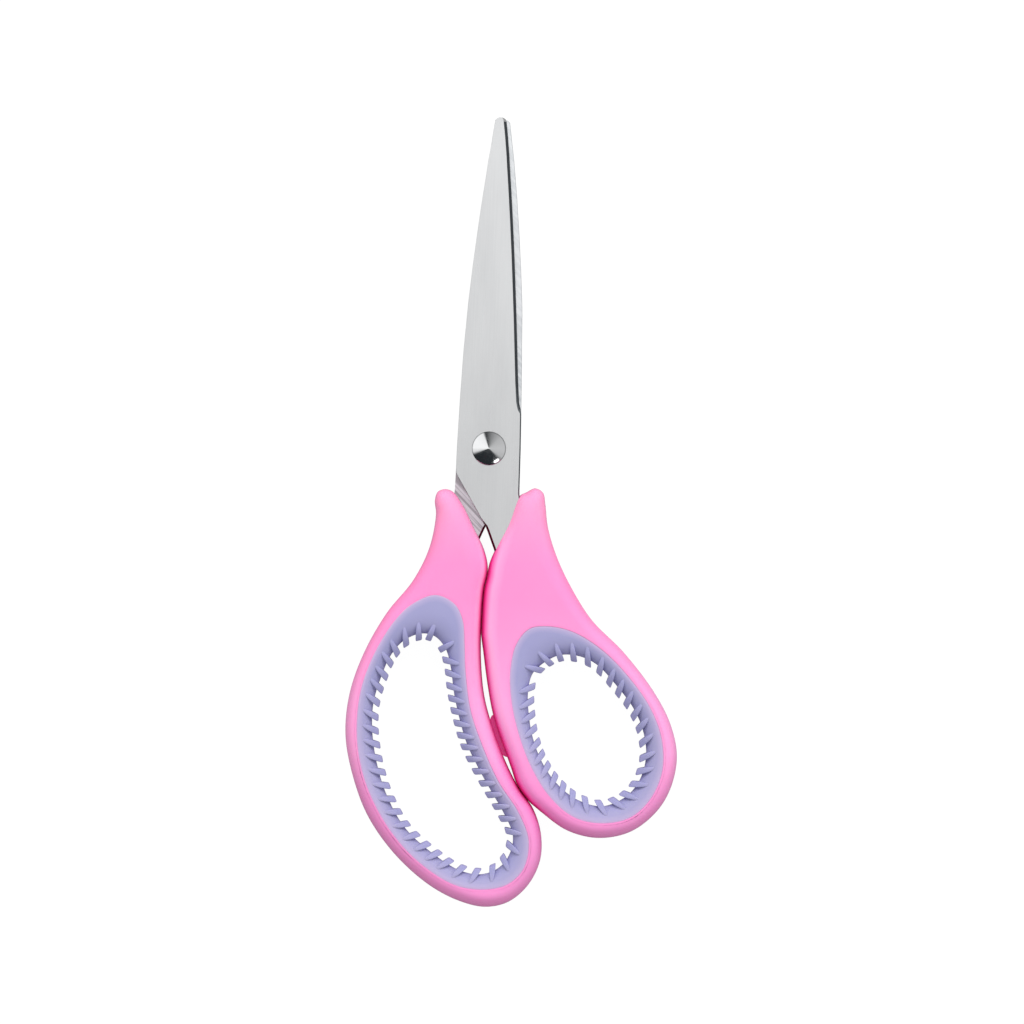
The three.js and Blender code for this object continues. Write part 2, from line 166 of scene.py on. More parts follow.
def inward_normals(loop):
    """Unit normals of a clockwise loop, to its inside: the chord between neighbours turned a quarter turn."""
    along = np.roll(loop, -1, 0) - np.roll(loop, 1, 0)
    along /= np.linalg.norm(along, axis=1, keepdims=True)
    return np.column_stack([along[:, 1], -along[:, 0]])


def smoothed_round(values, passes):
    """A periodic row of numbers averaged with its neighbours, quarter, half, quarter, passes times."""
    for _ in range(passes):
        values = 0.25 * np.roll(values, 1, 0) + 0.5 * values + 0.25 * np.roll(values, -1, 0)
    return values


def matched(outer, inner_dense):
    """For each outer point the inner loop's point it is joined to: four fifths the nearest point, by
    distance run, and one fifth the point at the same share of the way round, smoothed and kept in order."""
    n, m = len(outer), len(inner_dense)
    gap = np.linalg.norm(outer[:, None] - inner_dense[None], axis=2)
    near = gap.argmin(axis=1) / m
    turn = np.diff(np.concatenate([near, near[:1]]))
    turn = (turn + 0.5) % 1.0 - 0.5
    run = near[0] + np.concatenate([[0.0], np.cumsum(turn)[:-1]])
    drift = run - np.arange(n) / n
    drift = smoothed_round(0.8 * drift + 0.2 * drift.mean(), 260)
    share = (np.arange(n) / n + drift) % 1.0
    at = share * m
    low = np.floor(at).astype(int) % m
    part = (at - np.floor(at))[:, None]
    return inner_dense[low] * (1 - part) + inner_dense[(low + 1) % m] * part


def between_loops(outer, inner, rows, passes=260):
    """A grid of rows closed loops from outer to inner. It starts as straight lines between matched points and
    is relaxed by the Winslow equations: each point moves to the mean of its neighbours weighted by the
    squared spacing across them, less half the twist term, so that no quad folds where the band bends."""
    share = np.linspace(0.0, 1.0, rows)[:, None, None]
    grid = outer[None] * (1 - share) + inner[None] * share
    for _ in range(passes):
        east, west = np.roll(grid, -1, 1), np.roll(grid, 1, 1)
        du = (east[1:-1] - west[1:-1]) / 2
        dv = (grid[2:] - grid[:-2]) / 2
        alpha = (dv**2).sum(2, keepdims=True)
        gamma = (du**2).sum(2, keepdims=True)
        beta = (du * dv).sum(2, keepdims=True)
        twist = (east[2:] - west[2:] - east[:-2] + west[:-2]) / 4
        middle = (
            alpha * (east[1:-1] + west[1:-1]) + gamma * (grid[2:] + grid[:-2]) - 2 * beta * twist
        ) / (2 * (alpha + gamma))
        grid[1:-1] = 0.15 * grid[1:-1] + 0.85 * middle
    return grid


def rows_at(grid, shares):
    """The grid read at these shares of the way across, straight between its own rows."""
    at = np.asarray(shares) * (len(grid) - 1)
    low = np.minimum(np.floor(at).astype(int), len(grid) - 2)
    part = (at - low)[:, None, None]
    return grid[low] * (1 - part) + grid[low + 1] * part


def depth_inside(points, outline):
    """How deep points lie inside a closed outline. Close to it, the distance to the nearest chord. Further
    in, the cube root of (pi / 2) over the sum of chord length / distance^4, which is the same beside a
    straight edge and has no crease along the middle of a narrow part."""
    flat = points.reshape(-1, 2)
    end = np.roll(outline, -1, 0)
    chord = end - outline
    length = np.linalg.norm(chord, axis=1)
    to = flat[:, None] - outline[None]
    share = np.clip((to * chord).sum(2) / length**2, 0, 1)
    near = np.linalg.norm(to - share[..., None] * chord, axis=2).min(axis=1)
    square = ((flat[:, None] - (outline + end)[None] / 2) ** 2).sum(2)
    soft = ((2 / np.pi) * (length / np.maximum(square, 0.04) ** 2).sum(1)) ** (-1 / 3)
    mix = np.clip((near - 0.5) / 1.3, 0, 1)
    mix = mix * mix * (3 - 2 * mix)
    return (near * (1 - mix) + soft * mix).reshape(points.shape[:-1])


def smoothly(values, low, high):
    """0 below low, 1 above high, and the smooth cubic step between."""
    t = np.clip((values - low) / (high - low), 0, 1)
    return t * t * (3 - 2 * t)


def through(points, at):
    """Offsets at distances at along a blade: straight chords, then each read is the mean of nine reads within
    0.6 mm either side, which rounds the corners of the chords."""
    x, y = np.asarray(points, float).T
    spread = np.linspace(-0.6, 0.6, 9)
    return np.interp(np.asarray(at)[:, None] + spread, x, y).mean(axis=1)


def drawn_up(loop, other, spans, gap):
    """A loop whose points, within these spans of height, stand exactly gap off another loop: each is carried
    to its nearest point there and back out along that point's outward normal. It eases in over 2 mm."""
    nearest = np.linalg.norm(loop[:, None] - other[None], axis=2).argmin(axis=1)
    laid = other[nearest] - gap * inward_normals(other)[nearest]
    close = np.linalg.norm(laid - loop, axis=1) < 0.6
    share = sum(smoothly(loop[:, 1], low - 1, low + 1) * (1 - smoothly(loop[:, 1], high - 1, high + 1))
                for low, high in spans) * close
    return loop * (1 - share[:, None]) + laid * share[:, None]


# ---------------------------------------------------------------- meshes


def ring_faces(rows, columns, closed_rows=False):
    """The quads of a grid whose columns run round and join up, and whose rows join up too if closed_rows."""
    r = np.arange(rows if closed_rows else rows - 1)[:, None]
    c = np.arange(columns)[None]
    n, e = (r + 1) % rows, (c + 1) % columns
    quads = np.stack([r * columns + c, r * columns + e, n * columns + e, n * columns + c], axis=-1)
    return quads.reshape(-1, 4)


def signed_volume(vertices, quads):
    """Six times the volume inside the quads, positive when they face outwards: the sum, over their two
    triangles, of corner dot (corner cross corner)."""
    a, b, c, d = (vertices[quads[:, k]] for k in range(4))
    return (a * np.cross(b, c)).sum() + (a * np.cross(c, d)).sum()


def mesh_object(name, parts, materials, sharp=32.0):
    """One object from parts: vertices in millimetres, quads, caps, and a slot for all or for each quad. Each
    part is turned to face outwards, caps close the ends of tubes, and edges that fold more than sharp degrees
    stay crisp."""
    vertices, faces, slots, start = [], [], [], 0
    for points, quads, caps, slot_of in parts:
        points = np.asarray(points, float).reshape(-1, 3)
        flip = signed_volume(points - points.mean(0), quads) < 0
        quads = quads[:, ::-1] if flip else quads
        caps = [list(cap)[::-1] if flip else list(cap) for cap in caps]
        vertices.append(points * MM)
        faces += (quads + start).tolist() + [[k + start for k in cap] for cap in caps]
        slots += list(np.broadcast_to(slot_of, len(quads)))
        slots += [slot_of if np.isscalar(slot_of) else 0] * len(caps)
        start += len(points)
    mesh = bpy.data.meshes.new(name)
    mesh.from_pydata(np.vstack(vertices).tolist(), [], faces)
    for material in materials:
        mesh.materials.append(material)
    mesh.polygons.foreach_set("material_index", np.asarray(slots, np.int32))
    mesh.shade_smooth()
    mesh.set_sharp_from_angle(angle=math.radians(sharp))
    mesh.update()
    made = bpy.data.objects.new(name, mesh)
    bpy.context.scene.collection.objects.link(made)
    return made


# ---------------------------------------------------------------- handles and grips

HANDLE_COLUMNS = 560
EAR_STARTS = -34.0  # the height at which a handle's bow turns into its ear
EDGE_WIDTH, EDGE_WIDENS = 3.5, 2.1  # the rounded edge of the bow, and how much wider it is at the ear
FACE_HALF, FACE_THINS = 6.0, 0.9  # half thickness of the bow, and how much less it is at the ear
EDGE_FULLNESS = 2.3
ROW_CROWDING = 1.9  # the power that crowds a band's rows towards its steep side
SEAM_SAMPLES = 1600
GROOVE_WIDTH = 0.4
GROOVE_DEPTH = 0.04
GROOVE_ROWS = np.array([0.6, 0.42, 0.24, 0.1, 0.0])  # distances from the seam
SEAM_SHRINK = 0.01  # the grip's side stands this far inside the seam


def handle_height(points, outline):
    """Half thickness of a handle: top * (1 - (1 - depth / width)^p)^(1 / p), a full, rounded edge. Its width
    grows and its top falls from the bow to the ear beside the blades."""
    width = EDGE_WIDTH + EDGE_WIDENS * smoothly(points[..., 1], EAR_STARTS, -8.0)
    share = np.clip(depth_inside(points, outline) / width, 0, 1)
    top = FACE_HALF - FACE_THINS * smoothly(points[..., 1], EAR_STARTS, 4.0)
    return top * (1 - (1 - share) ** EDGE_FULLNESS) ** (1 / EDGE_FULLNESS)


def beside_seam(neighbours, seam, away):
    """Rows of points that stand these distances from the seam, straight towards their neighbours."""
    pull = (neighbours - seam) / np.linalg.norm(neighbours - seam, axis=1, keepdims=True)
    return seam[None] + away[:, None, None] * pull[None]


def groove(away):
    """How far a face drops this far from the seam: depth * (1 - distance / width)^2."""
    return (GROOVE_DEPTH * np.clip(1 - away / GROOVE_WIDTH, 0, 1) ** 2)[:, None]


def handle_shell(outline_loop, seam_points):
    """A handle as one closed grid: from the outline's middle line over the face to the seam, down the seam's
    wall, and back across the underside."""
    outline = evenly(outline_loop, HANDLE_COLUMNS)
    seam = matched(outline, smooth_loop(seam_points, SEAM_SAMPLES))
    shares = np.linspace(0, 1, 27) ** ROW_CROWDING
    rows = rows_at(between_loops(outline, seam, 22), shares)
    rows = np.concatenate([rows[:-2], beside_seam(rows[-2], seam, GROOVE_ROWS)])
    height = handle_height(rows, evenly(outline_loop, 900))
    height[0] = 0.0
    height[-len(GROOVE_ROWS):] -= groove(GROOVE_ROWS)
    top = np.dstack([rows, MID + height])
    under = np.dstack([rows, MID - height])[1:][::-1]
    loop = np.concatenate([top, under])
    return loop, ring_faces(len(loop), HANDLE_COLUMNS, True), [], 0


GRIP_COLUMNS = 320
GRIP_FACE = 5.85
GRIP_LIP = 2.0
GRIP_FALL = 1.9


def grip_height(share):
    """Half thickness of a grip from its seam, share 0, to its bore, share 1: it stays full, then falls ever
    more steeply to the lip, lip + (face - lip) * (1 - share^p)^(1 / p)."""
    return GRIP_LIP + (GRIP_FACE - GRIP_LIP) * (1 - np.clip(share, 0, 1) ** GRIP_FALL) ** (1 / GRIP_FALL)


def grip_ring(seam_points, bore_points):
    """A grip's body as one closed grid from the seam across the face to the bore, over the bore's wall and
    back underneath, closed by its side along the seam."""
    bore = smooth_loop(bore_points, GRIP_COLUMNS)
    seam = smooth_loop(seam_points, SEAM_SAMPLES)
    seam = matched(bore, seam + SEAM_SHRINK * inward_normals(seam))
    shares = 1 - (1 - np.linspace(0, 1, 22)) ** ROW_CROWDING
    rows = rows_at(between_loops(seam, bore, 16), shares)
    away = GROOVE_ROWS[::-1]
    rows = np.concatenate([beside_seam(rows[2], seam, away), rows[3:]])
    shares = np.concatenate([np.zeros(len(away)), shares[3:]])
    height = np.repeat(grip_height(shares)[:, None], GRIP_COLUMNS, 1)
    height[:len(away)] -= groove(away)
    top = np.dstack([rows, MID + height])
    under = np.dstack([rows, MID - height])[::-1]
    loop = np.concatenate([top, under])
    return loop, ring_faces(len(loop), GRIP_COLUMNS, True), [], 0


# Where a fin's sections stand, from its root in the grip through the bore's wall at 0 to its tip in the bow,
# with their half widths and how far their tops drop at the tip.
FIN_STATIONS = np.array([-3.1, -3.02, -2.6, -1.8, -1.0, -0.2, 0.6, 1.35, 1.58, 1.70, 1.75])
FIN_HALF_WIDTHS = np.array([0.05, 0.16, 0.36, 0.54, 0.67, 0.76, 0.81, 0.82, 0.78, 0.68, 0.52])
FIN_TIP_DROPS = np.array([0, 0, 0, 0, 0, 0, 0, 0, 0.06, 0.2, 0.36])
FIN_ROOT_SINK = 0.25  # below the grip's face
FIN_TIP_HALF = 3.1
FIN_BULGE = 0.95
FIN_ROUNDING = 0.26

# A grip's fins: how many, where the first stands in pitches, and pairs of (fin, value) for how far a fin is
# shifted in pitches, how many degrees it leans, and how much longer its root part is.
FINGER_FINS = {
    "count": 42,
    "start": 0.68,
    "shift": [
        (0, -0.2), (1, -0.12), (9, -0.42), (14, -0.3), (19, -0.4), (24, -0.08), (28, 0.12), (35, 0.4),
        (38, 0.43), (41, 0.15), (42, -0.2),
    ],
    "lean": [(0, -6), (1, 0), (2, -25), (40, -25), (41, -11)],
    "stretch": [(0, 1.3), (1, 1.15), (2, 1.0), (39, 1.0), (41, 1.25)],
}
THUMB_FINS = {
    "count": 29,
    "start": 0.03,
    "shift": [
        (0, -0.17), (1, -0.28), (3, -0.25), (5, -0.13), (8, -0.05), (10, 0.07), (12, 0.1), (14, 0.0),
        (17, -0.02), (19, -0.22), (22, -0.4), (24, -0.3), (26, -0.23), (27, 0.05), (28, 0.0),
    ],
    "lean": [(0, 6), (1, 15), (2, 26), (3, 28), (27, 28), (28, 14)],
    "stretch": [(0, 1.35), (3, 1.15), (5, 1.0), (26, 1.0), (27, 1.2), (28, 1.45)],
}


def fins(seam_points, bore_points, row):
    """Fins spread along the loop of their tips. Each is a tube of rounded oblong sections, parallel to the
    bore's wall, along an axis that leans from square to it. The top line runs from the grip's own surface at
    the root to the tip's height, plus a bulge * sin(pi * share). A section's corner is half width and half
    height, each less the corner's own share of the rounding radius."""
    count = row["count"]
    shift, lean, stretch = (
        np.interp(np.arange(count), *np.transpose(row[what])) for what in ("shift", "lean", "stretch"))
    lean = np.radians(lean)
    wall = smooth_loop(bore_points, count * 24)
    inward = inward_normals(wall)
    tips = wall + FIN_STATIONS[-1] * inward
    run = np.concatenate([[0.0], np.cumsum(np.linalg.norm(np.roll(tips, -1, 0) - tips, axis=1))])
    stand = np.arange(count) + row["start"] + shift
    picked = np.searchsorted(run, stand % count * run[-1] / count) % len(wall)
    at, inward = wall[picked], inward[picked]
    aside = np.column_stack([-inward[:, 1], inward[:, 0]])
    axis = inward + aside * np.tan(lean)[:, None]
    across = aside / np.cos(lean)[:, None]
    band = np.linalg.norm(at[:, None] - smooth_loop(seam_points, 800)[None], axis=2).min(axis=1)
    share = (FIN_STATIONS - FIN_STATIONS[0]) / (FIN_STATIONS[-1] - FIN_STATIONS[0])
    reach = np.where(FIN_STATIONS < 0, FIN_STATIONS * stretch[:, None], FIN_STATIONS)
    root = grip_height(1 + reach[:, 0] / band)[:, None] - FIN_ROOT_SINK
    half_height = root * (1 - share) + FIN_TIP_HALF * share + FIN_BULGE * np.sin(np.pi * share)
    half_height -= FIN_TIP_DROPS
    radius = np.minimum(FIN_ROUNDING, FIN_HALF_WIDTHS * 0.8)
    # One quarter of the section as (share of the rounding radius taken off the width, off the height).
    quarter = np.array([[0.0, 1.0], [0.3, 0.3], [1.0, 0.0]])
    side = np.array([[1, 1]] * 3 + [[-1, 1]] * 3 + [[-1, -1]] * 3 + [[1, -1]] * 3, float)
    cut = np.vstack([quarter, quarter[::-1], quarter, quarter[::-1]])
    wide = side[:, 0] * (FIN_HALF_WIDTHS[:, None] - cut[:, 0] * radius[:, None])
    high = side[:, 1] * (half_height[..., None] - cut[:, 1] * radius[:, None])
    plan = (
        at[:, None, None]
        + axis[:, None, None] * reach[:, :, None, None]
        + across[:, None, None] * wide[None, :, :, None]
    )
    points = np.concatenate([plan, MID + high[..., None]], axis=3)
    stations, around = wide.shape
    one = ring_faces(stations, around)
    size = stations * around
    caps = [list(range(around))[::-1], list(range(size - around, size))]
    return [(points[k], one, caps, 0) for k in range(count)]


def distances(piece, loop):
    """How far each point of a piece is from a loop, seen from above, in millimetres."""
    place = np.empty(len(piece.data.vertices) * 3)
    piece.data.vertices.foreach_get("co", place)
    flat = place.reshape(-1, 3)[:, :2] / MM
    return np.concatenate([
        np.linalg.norm(part[:, None] - loop[None], axis=2).min(axis=1) for part in np.array_split(flat, 12)
    ])


def mark(piece, name, values):
    """Stores one number per point on a piece."""
    layer = piece.data.attributes.new(name, "FLOAT", "POINT")
    layer.data.foreach_set("value", values.astype(np.float32))
    return piece


def mark_distance(piece, name, loop_points):
    """Stores the distance of each point of a piece from a smooth loop."""
    return mark(piece, name, distances(piece, smooth_loop(loop_points, 700)))


def mark_crevice(piece, own_loop, twin_loop, stretch):
    """Stores in_crevice: stretch times the distance from the piece's own outline, plus 0.3 of how much
    further the other handle's outline is. It is small only on the flanks that face the other handle."""
    own = distances(piece, evenly(own_loop, 1200))
    further = np.maximum(distances(piece, evenly(twin_loop, 1200)) - own, 0)
    return mark(piece, "in_crevice", stretch * own + 0.3 * further)


STOP_OUTLINE = [
    (-4.6, -54.3), (-5.25, -55.6), (-4.6, -58.0), (-3.4, -61.4), (-2.2, -64.1), (-1.0, -64.7), (0.2, -64.2),
    (-1.0, -59.0),
]
STOP_COLUMNS = 72
STOP_HALF = 1.0
STOP_ROUNDING = 0.5


def closing_stop():
    """The stop between the bows: its outline carried up from the middle plane and drawn in near the top by
    radius * (1 - cosine), which rounds its edge."""
    outline = smooth_loop(STOP_OUTLINE, STOP_COLUMNS)
    angle = np.linspace(0, np.pi / 2, 6)
    draw = STOP_ROUNDING * (1 - np.cos(angle))
    rise = STOP_HALF - STOP_ROUNDING + STOP_ROUNDING * np.sin(angle)
    draw = np.concatenate([draw[::-1], draw])
    rise = np.concatenate([-rise[::-1], rise])
    rows = outline[None] + draw[:, None, None] * inward_normals(outline)[None]
    tall = np.broadcast_to((MID + rise)[:, None, None], rows.shape[:2] + (1,))
    points = np.concatenate([rows, tall], axis=2)
    last = (len(draw) - 1) * STOP_COLUMNS
    caps = [list(range(STOP_COLUMNS))[::-1], list(range(last, last + STOP_COLUMNS))]
    return points, ring_faces(len(draw), STOP_COLUMNS), caps, 1


# ---------------------------------------------------------------- blades, rivet and washer


def on_blade(side, along, across):
    """Blade measures to the part's x and y: (side * across, along) turned by the lean about the pivot."""
    x, y = side * across, along
    c, s = math.cos(BLADE_LEAN), math.sin(BLADE_LEAN)
    return PIVOT[0] + c * x - s * y, PIVOT[1] + s * x + c * y


# Along a blade, from the pivot towards the tip.
HEEL = -35.4
BEVEL_FROM, BEVEL_ENDS_SHORT = -24.0, 1.3  # the bevel's finish, to this far short of the tip
GRIND_GROWS = (9.4, 10.7)  # where the grind steps from a narrow chamfer to the full bevel
NOTCH_FROM, NOTCH_TO = 9.5, 18.0
TANG_EDGE = (-31.0, -19.6)
SPINE_WIDENS = (18.5, 21.0)  # below the pivot
# Across it.
CHAMFER_WIDTH, CHAMFER_DROP = 0.34, 0.30
BEVEL_WIDENS, BEVEL_DEEPENS = 0.44, 0.62
CREST_SHARE, CREST_DROP = 0.56, 0.46
SPINE_ROUNDING, TANG_ROUNDING = 0.13, 0.52
TIP_MIDDLE = 0.42
BEVEL, NOTCH, TANG = 1, 2, 3  # slots of a blade's materials after the face's


def blade(name, side, low, tip, materials):
    """A blade lofted along its length. A section has a flat inner face, a rounded spine, a flat outer face
    and the ground bevel, two facets that fall from the face to the cutting edge. Rounded corners have a point
    on each flat close beside them. Towards the tip both edges draw in to the middle by the square root of
    1 - e^2."""
    body = np.concatenate([np.linspace(HEEL, 6.0, 40), np.linspace(6.5, 9.1, 9), np.linspace(9.2, 11.2, 21),
                           np.linspace(11.5, 20.0, 30), np.linspace(21.0, tip - 1.1, 70)])
    end = np.sin(np.linspace(0.0, np.pi / 2, 12))[1:] + tip - 1.0
    end[-1] -= 0.004
    along = np.concatenate([body, end])
    spine = through(SPINE_LINE, along) + through(SPINE_TRIM[side], along)
    edge = through(EDGE_LINE, along) + through(EDGE_TRIM[side], along)
    close = np.sqrt(np.clip(1 - np.clip(along - (tip - 1.0), 0, 1) ** 2, 0, 1))
    spine, edge = (TIP_MIDDLE + (line - TIP_MIDDLE) * close for line in (spine, edge))
    width = spine - edge
    outer, inner = (low + BLADE_THICKNESS, low) if side == FRONT else (low, low + BLADE_THICKNESS)
    inwards = -1.0 if side == FRONT else 1.0
    ground = smoothly(along, *GRIND_GROWS)
    wide = CHAMFER_WIDTH + BEVEL_WIDENS * ground
    shoulder = edge + np.minimum(wide * close, width * 0.45)
    crest = edge + CREST_SHARE * (shoulder - edge)
    drop = inwards * (CHAMFER_DROP + BEVEL_DEEPENS * ground)
    r = np.minimum(SPINE_ROUNDING + TANG_ROUNDING * smoothly(-along, *SPINE_WIDENS), width * 0.2)
    line = [
        (edge, inner + 0 * r),
        (edge + 0.5 * width, inner + 0 * r),
        (spine - r - 0.03, inner + 0 * r),
        (spine - r, inner + 0 * r),
        (spine - 0.3 * r, inner - inwards * 0.3 * r),
        (spine, inner - inwards * r),
        (spine, outer + inwards * r),
        (spine - 0.3 * r, outer + inwards * 0.3 * r),
        (spine - r, outer + 0 * r),
        (spine - r - 0.03, outer + 0 * r),
        (shoulder + 0.5 * (width - (shoulder - edge)), outer + 0 * r),
        (shoulder, outer + 0 * r),
        (crest, outer + CREST_DROP * drop),
        (edge + 0.012, outer + drop),
    ]
    across = np.stack([a for a, _ in line], axis=1)
    tall = np.stack([z + 0 * edge for _, z in line], axis=1)
    x, y = on_blade(side, along[:, None], across)
    points = np.stack([x, y, tall], axis=2)
    quads = ring_faces(len(along), len(line))
    column, place = np.arange(len(quads)) % len(line), np.repeat(along[:-1], len(line))
    rounded_spine, upper_facet, lower_facet = (column > 2) & (column < 8), column == 11, column == 12
    slots = np.zeros(len(quads), int)
    slots[(upper_facet | lower_facet) & (place > BEVEL_FROM) & (place < tip - BEVEL_ENDS_SHORT)] = BEVEL
    slots[upper_facet & (place > NOTCH_FROM) & (place < NOTCH_TO)] = NOTCH
    slots[lower_facet & (place > NOTCH_FROM) & (place < GRIND_GROWS[1])] = NOTCH
    slots[rounded_spine & (place > TANG_EDGE[0]) & (place < TANG_EDGE[1])] = TANG
    last = (len(along) - 1) * len(line)
    caps = [list(range(len(line)))[::-1], list(range(last, last + len(line)))]
    made = mesh_object(name, [(points, quads, caps, slots)], materials)

    drill = turned(name + "_drill", [(PIVOT_HOLE_RADIUS, low - 1), (PIVOT_HOLE_RADIUS, low + 3)], [], 96)
    cut = made.modifiers.new("pivot_hole", "BOOLEAN")
    cut.operation, cut.solver, cut.object = "DIFFERENCE", "EXACT", drill
    bpy.context.view_layer.update()
    drilled = bpy.data.meshes.new_from_object(made.evaluated_get(bpy.context.evaluated_depsgraph_get()))
    made.modifiers.remove(cut)
    made.data = drilled
    bpy.data.objects.remove(drill)
    drilled.shade_smooth()
    drilled.set_sharp_from_angle(angle=math.radians(26))
    return made


def turned(name, profile, materials, around=128, sharp=32.0):
    """A profile of (radius, height) turned about the pivot's axis; caps close it unless it is a closed ring,
    whose profile ends where it starts."""
    ring = profile[0] == profile[-1]
    rows = np.array(profile[:-1] if ring else profile, float)
    angle = np.linspace(0, 2 * np.pi, around, endpoint=False)
    x = PIVOT[0] + rows[:, :1] * np.cos(angle)
    y = PIVOT[1] + rows[:, :1] * np.sin(angle)
    points = np.stack([x, y, np.broadcast_to(rows[:, 1:], x.shape)], axis=2)
    last = (len(rows) - 1) * around
    caps = [] if ring else [list(range(around))[::-1], list(range(last, last + around))]
    return mesh_object(name, [(points, ring_faces(len(rows), around, ring), caps, 0)], materials, sharp)


SHANK_RADIUS, TAIL_RADIUS, TAIL_LOW, TAIL_HIGH = 2.3, 3.1, 2.3, 3.2
HEAD_RADIUS, HEAD_LOW, HEAD_RIM, HEAD_RISE = 4.5, 8.0, 8.15, 1.95


def rivet_profile():
    """From the tail up: a peened button, whose edge is a quarter ellipse, the shank, and the head, a low rim
    under a slightly pointed dome whose height is rise * (0.64 * (1 - t) + 0.36 * sqrt(1 - t^2)), t the radius
    over the head's own."""
    tail = [(0.05, TAIL_LOW + 0.04), (0.7, TAIL_LOW)]
    tail += [
        (TAIL_RADIUS - 0.8 * (1 - math.sin(t)), TAIL_LOW + 0.55 * (1 - math.cos(t)))
        for t in np.linspace(0, np.pi / 2, 9)
    ]
    shank = [(TAIL_RADIUS, TAIL_HIGH), (SHANK_RADIUS, TAIL_HIGH), (SHANK_RADIUS, HEAD_LOW)]
    rim = [(HEAD_RADIUS - 0.14, HEAD_LOW), (HEAD_RADIUS - 0.04, HEAD_LOW + 0.05), (HEAD_RADIUS, HEAD_RIM)]
    dome = [
        (HEAD_RADIUS * math.cos(t), HEAD_RIM + HEAD_RISE * (0.64 * (1 - math.cos(t)) + 0.36 * math.sin(t)))
        for t in np.linspace(0, np.pi / 2, 34)[1:-1]
    ]
    return tail + shank + rim + dome + [(0.02, HEAD_RIM + HEAD_RISE)]


def washer_profile():
    """A flat ring round the rivet's hole with a small round on each outer corner."""
    return [(PIVOT_HOLE_RADIUS, 3.3), (3.72, 3.3), (3.85, 3.36), (3.9, 3.48), (3.9, 3.82), (3.85, 3.94),
            (3.72, 4.0), (PIVOT_HOLE_RADIUS, 4.0), (PIVOT_HOLE_RADIUS, 3.3)]


# ---------------------------------------------------------------- materials


def opaque(colour):
    """A colour with full cover, or another node's output as it is."""
    return colour if isinstance(colour, bpy.types.NodeSocket) else (*colour, 1)


class Finish:
    """A material in the making: its surface shader, and a method for each kind of node that feeds it."""

    def __init__(self, name, shader="ShaderNodeBsdfPrincipled"):
        self.material = bpy.data.materials.new(name)
        self.material.use_nodes = True
        self.nodes = self.material.node_tree.nodes
        self.links = self.material.node_tree.links
        self.nodes.clear()
        self.shader = self.nodes.new(shader)
        output = self.nodes.new("ShaderNodeOutputMaterial")
        self.links.new(self.shader.outputs[0], output.inputs["Surface"])
        self.parted = None

    def fill(self, node, inputs):
        """Links each named input of a node to another node's output, or sets it to a value."""
        for socket, value in inputs.items():
            if isinstance(value, bpy.types.NodeSocket):
                self.links.new(value, node.inputs[socket])
            else:
                node.inputs[socket].default_value = value

    def node(self, kind, inputs, **settings):
        """A new node with its settings and its inputs."""
        made = self.nodes.new(kind)
        for setting, value in settings.items():
            setattr(made, setting, value)
        self.fill(made, inputs)
        return made

    def surface(self, inputs):
        """Fills inputs of the surface shader and gives the material."""
        self.fill(self.shader, inputs)
        return self.material

    def place(self, scale=(1, 1, 1), turn=0.0):
        """Object coordinates for a pattern fixed in the piece, turned about Z and then stretched by scale."""
        source = self.node("ShaderNodeTexCoord", {}).outputs["Object"]
        inputs = {"Vector": source, "Scale": scale, "Rotation": (0, 0, turn)}
        return self.node("ShaderNodeMapping", inputs, vector_type="TEXTURE").outputs["Vector"]

    def axis(self, name):
        """The object coordinate X, Y or Z in metres."""
        if self.parted is None:
            self.parted = self.node("ShaderNodeSeparateXYZ", {"Vector": self.place()})
        return self.parted.outputs[name]

    def stored(self, name):
        """The number that the mesh stores under this name at each point."""
        return self.node("ShaderNodeAttribute", {}, attribute_name=name).outputs["Fac"]

    def noise(self, place, scale, detail=3.0, roughness=0.5):
        """Fractal noise from 0 to 1: scale is its cells to the metre, detail its octaves."""
        inputs = {"Vector": place, "Scale": scale, "Detail": detail, "Roughness": roughness}
        return self.node("ShaderNodeTexNoise", inputs).outputs["Fac"]

    def spread(self, value, low, high, to_low, to_high):
        """A value's range low..high carried to to_low..to_high, and held at its ends."""
        inputs = {"Value": value, "From Min": low, "From Max": high, "To Min": to_low, "To Max": to_high}
        return self.node("ShaderNodeMapRange", inputs).outputs["Result"]

    def band(self, axis, low, high, to_low, to_high):
        """The same for a coordinate, with low and high in millimetres."""
        return self.spread(self.axis(axis), low * MM, high * MM, to_low, to_high)

    def math(self, operation, *numbers):
        """One step of arithmetic."""
        return self.node("ShaderNodeMath", dict(enumerate(numbers)), operation=operation).outputs[0]

    def blend(self, share, under, colour, kind="MIX"):
        """A colour laid over another by share."""
        inputs = {"Factor": share, "A": opaque(under), "B": opaque(colour)}
        return self.node("ShaderNodeMix", inputs, data_type="RGBA", blend_type=kind).outputs["Result"]

    def layers(self, under, shares_and_colours):
        """Colours laid one after another over a first one, each by its own share."""
        for share, colour in shares_and_colours:
            under = self.blend(share, under, colour)
        return under

    def bump(self, height, strength, distance):
        """A normal tilted by the slope of a height pattern that is distance metres deep."""
        inputs = {"Strength": strength, "Distance": distance, "Height": height}
        return self.node("ShaderNodeBump", inputs).outputs["Normal"]


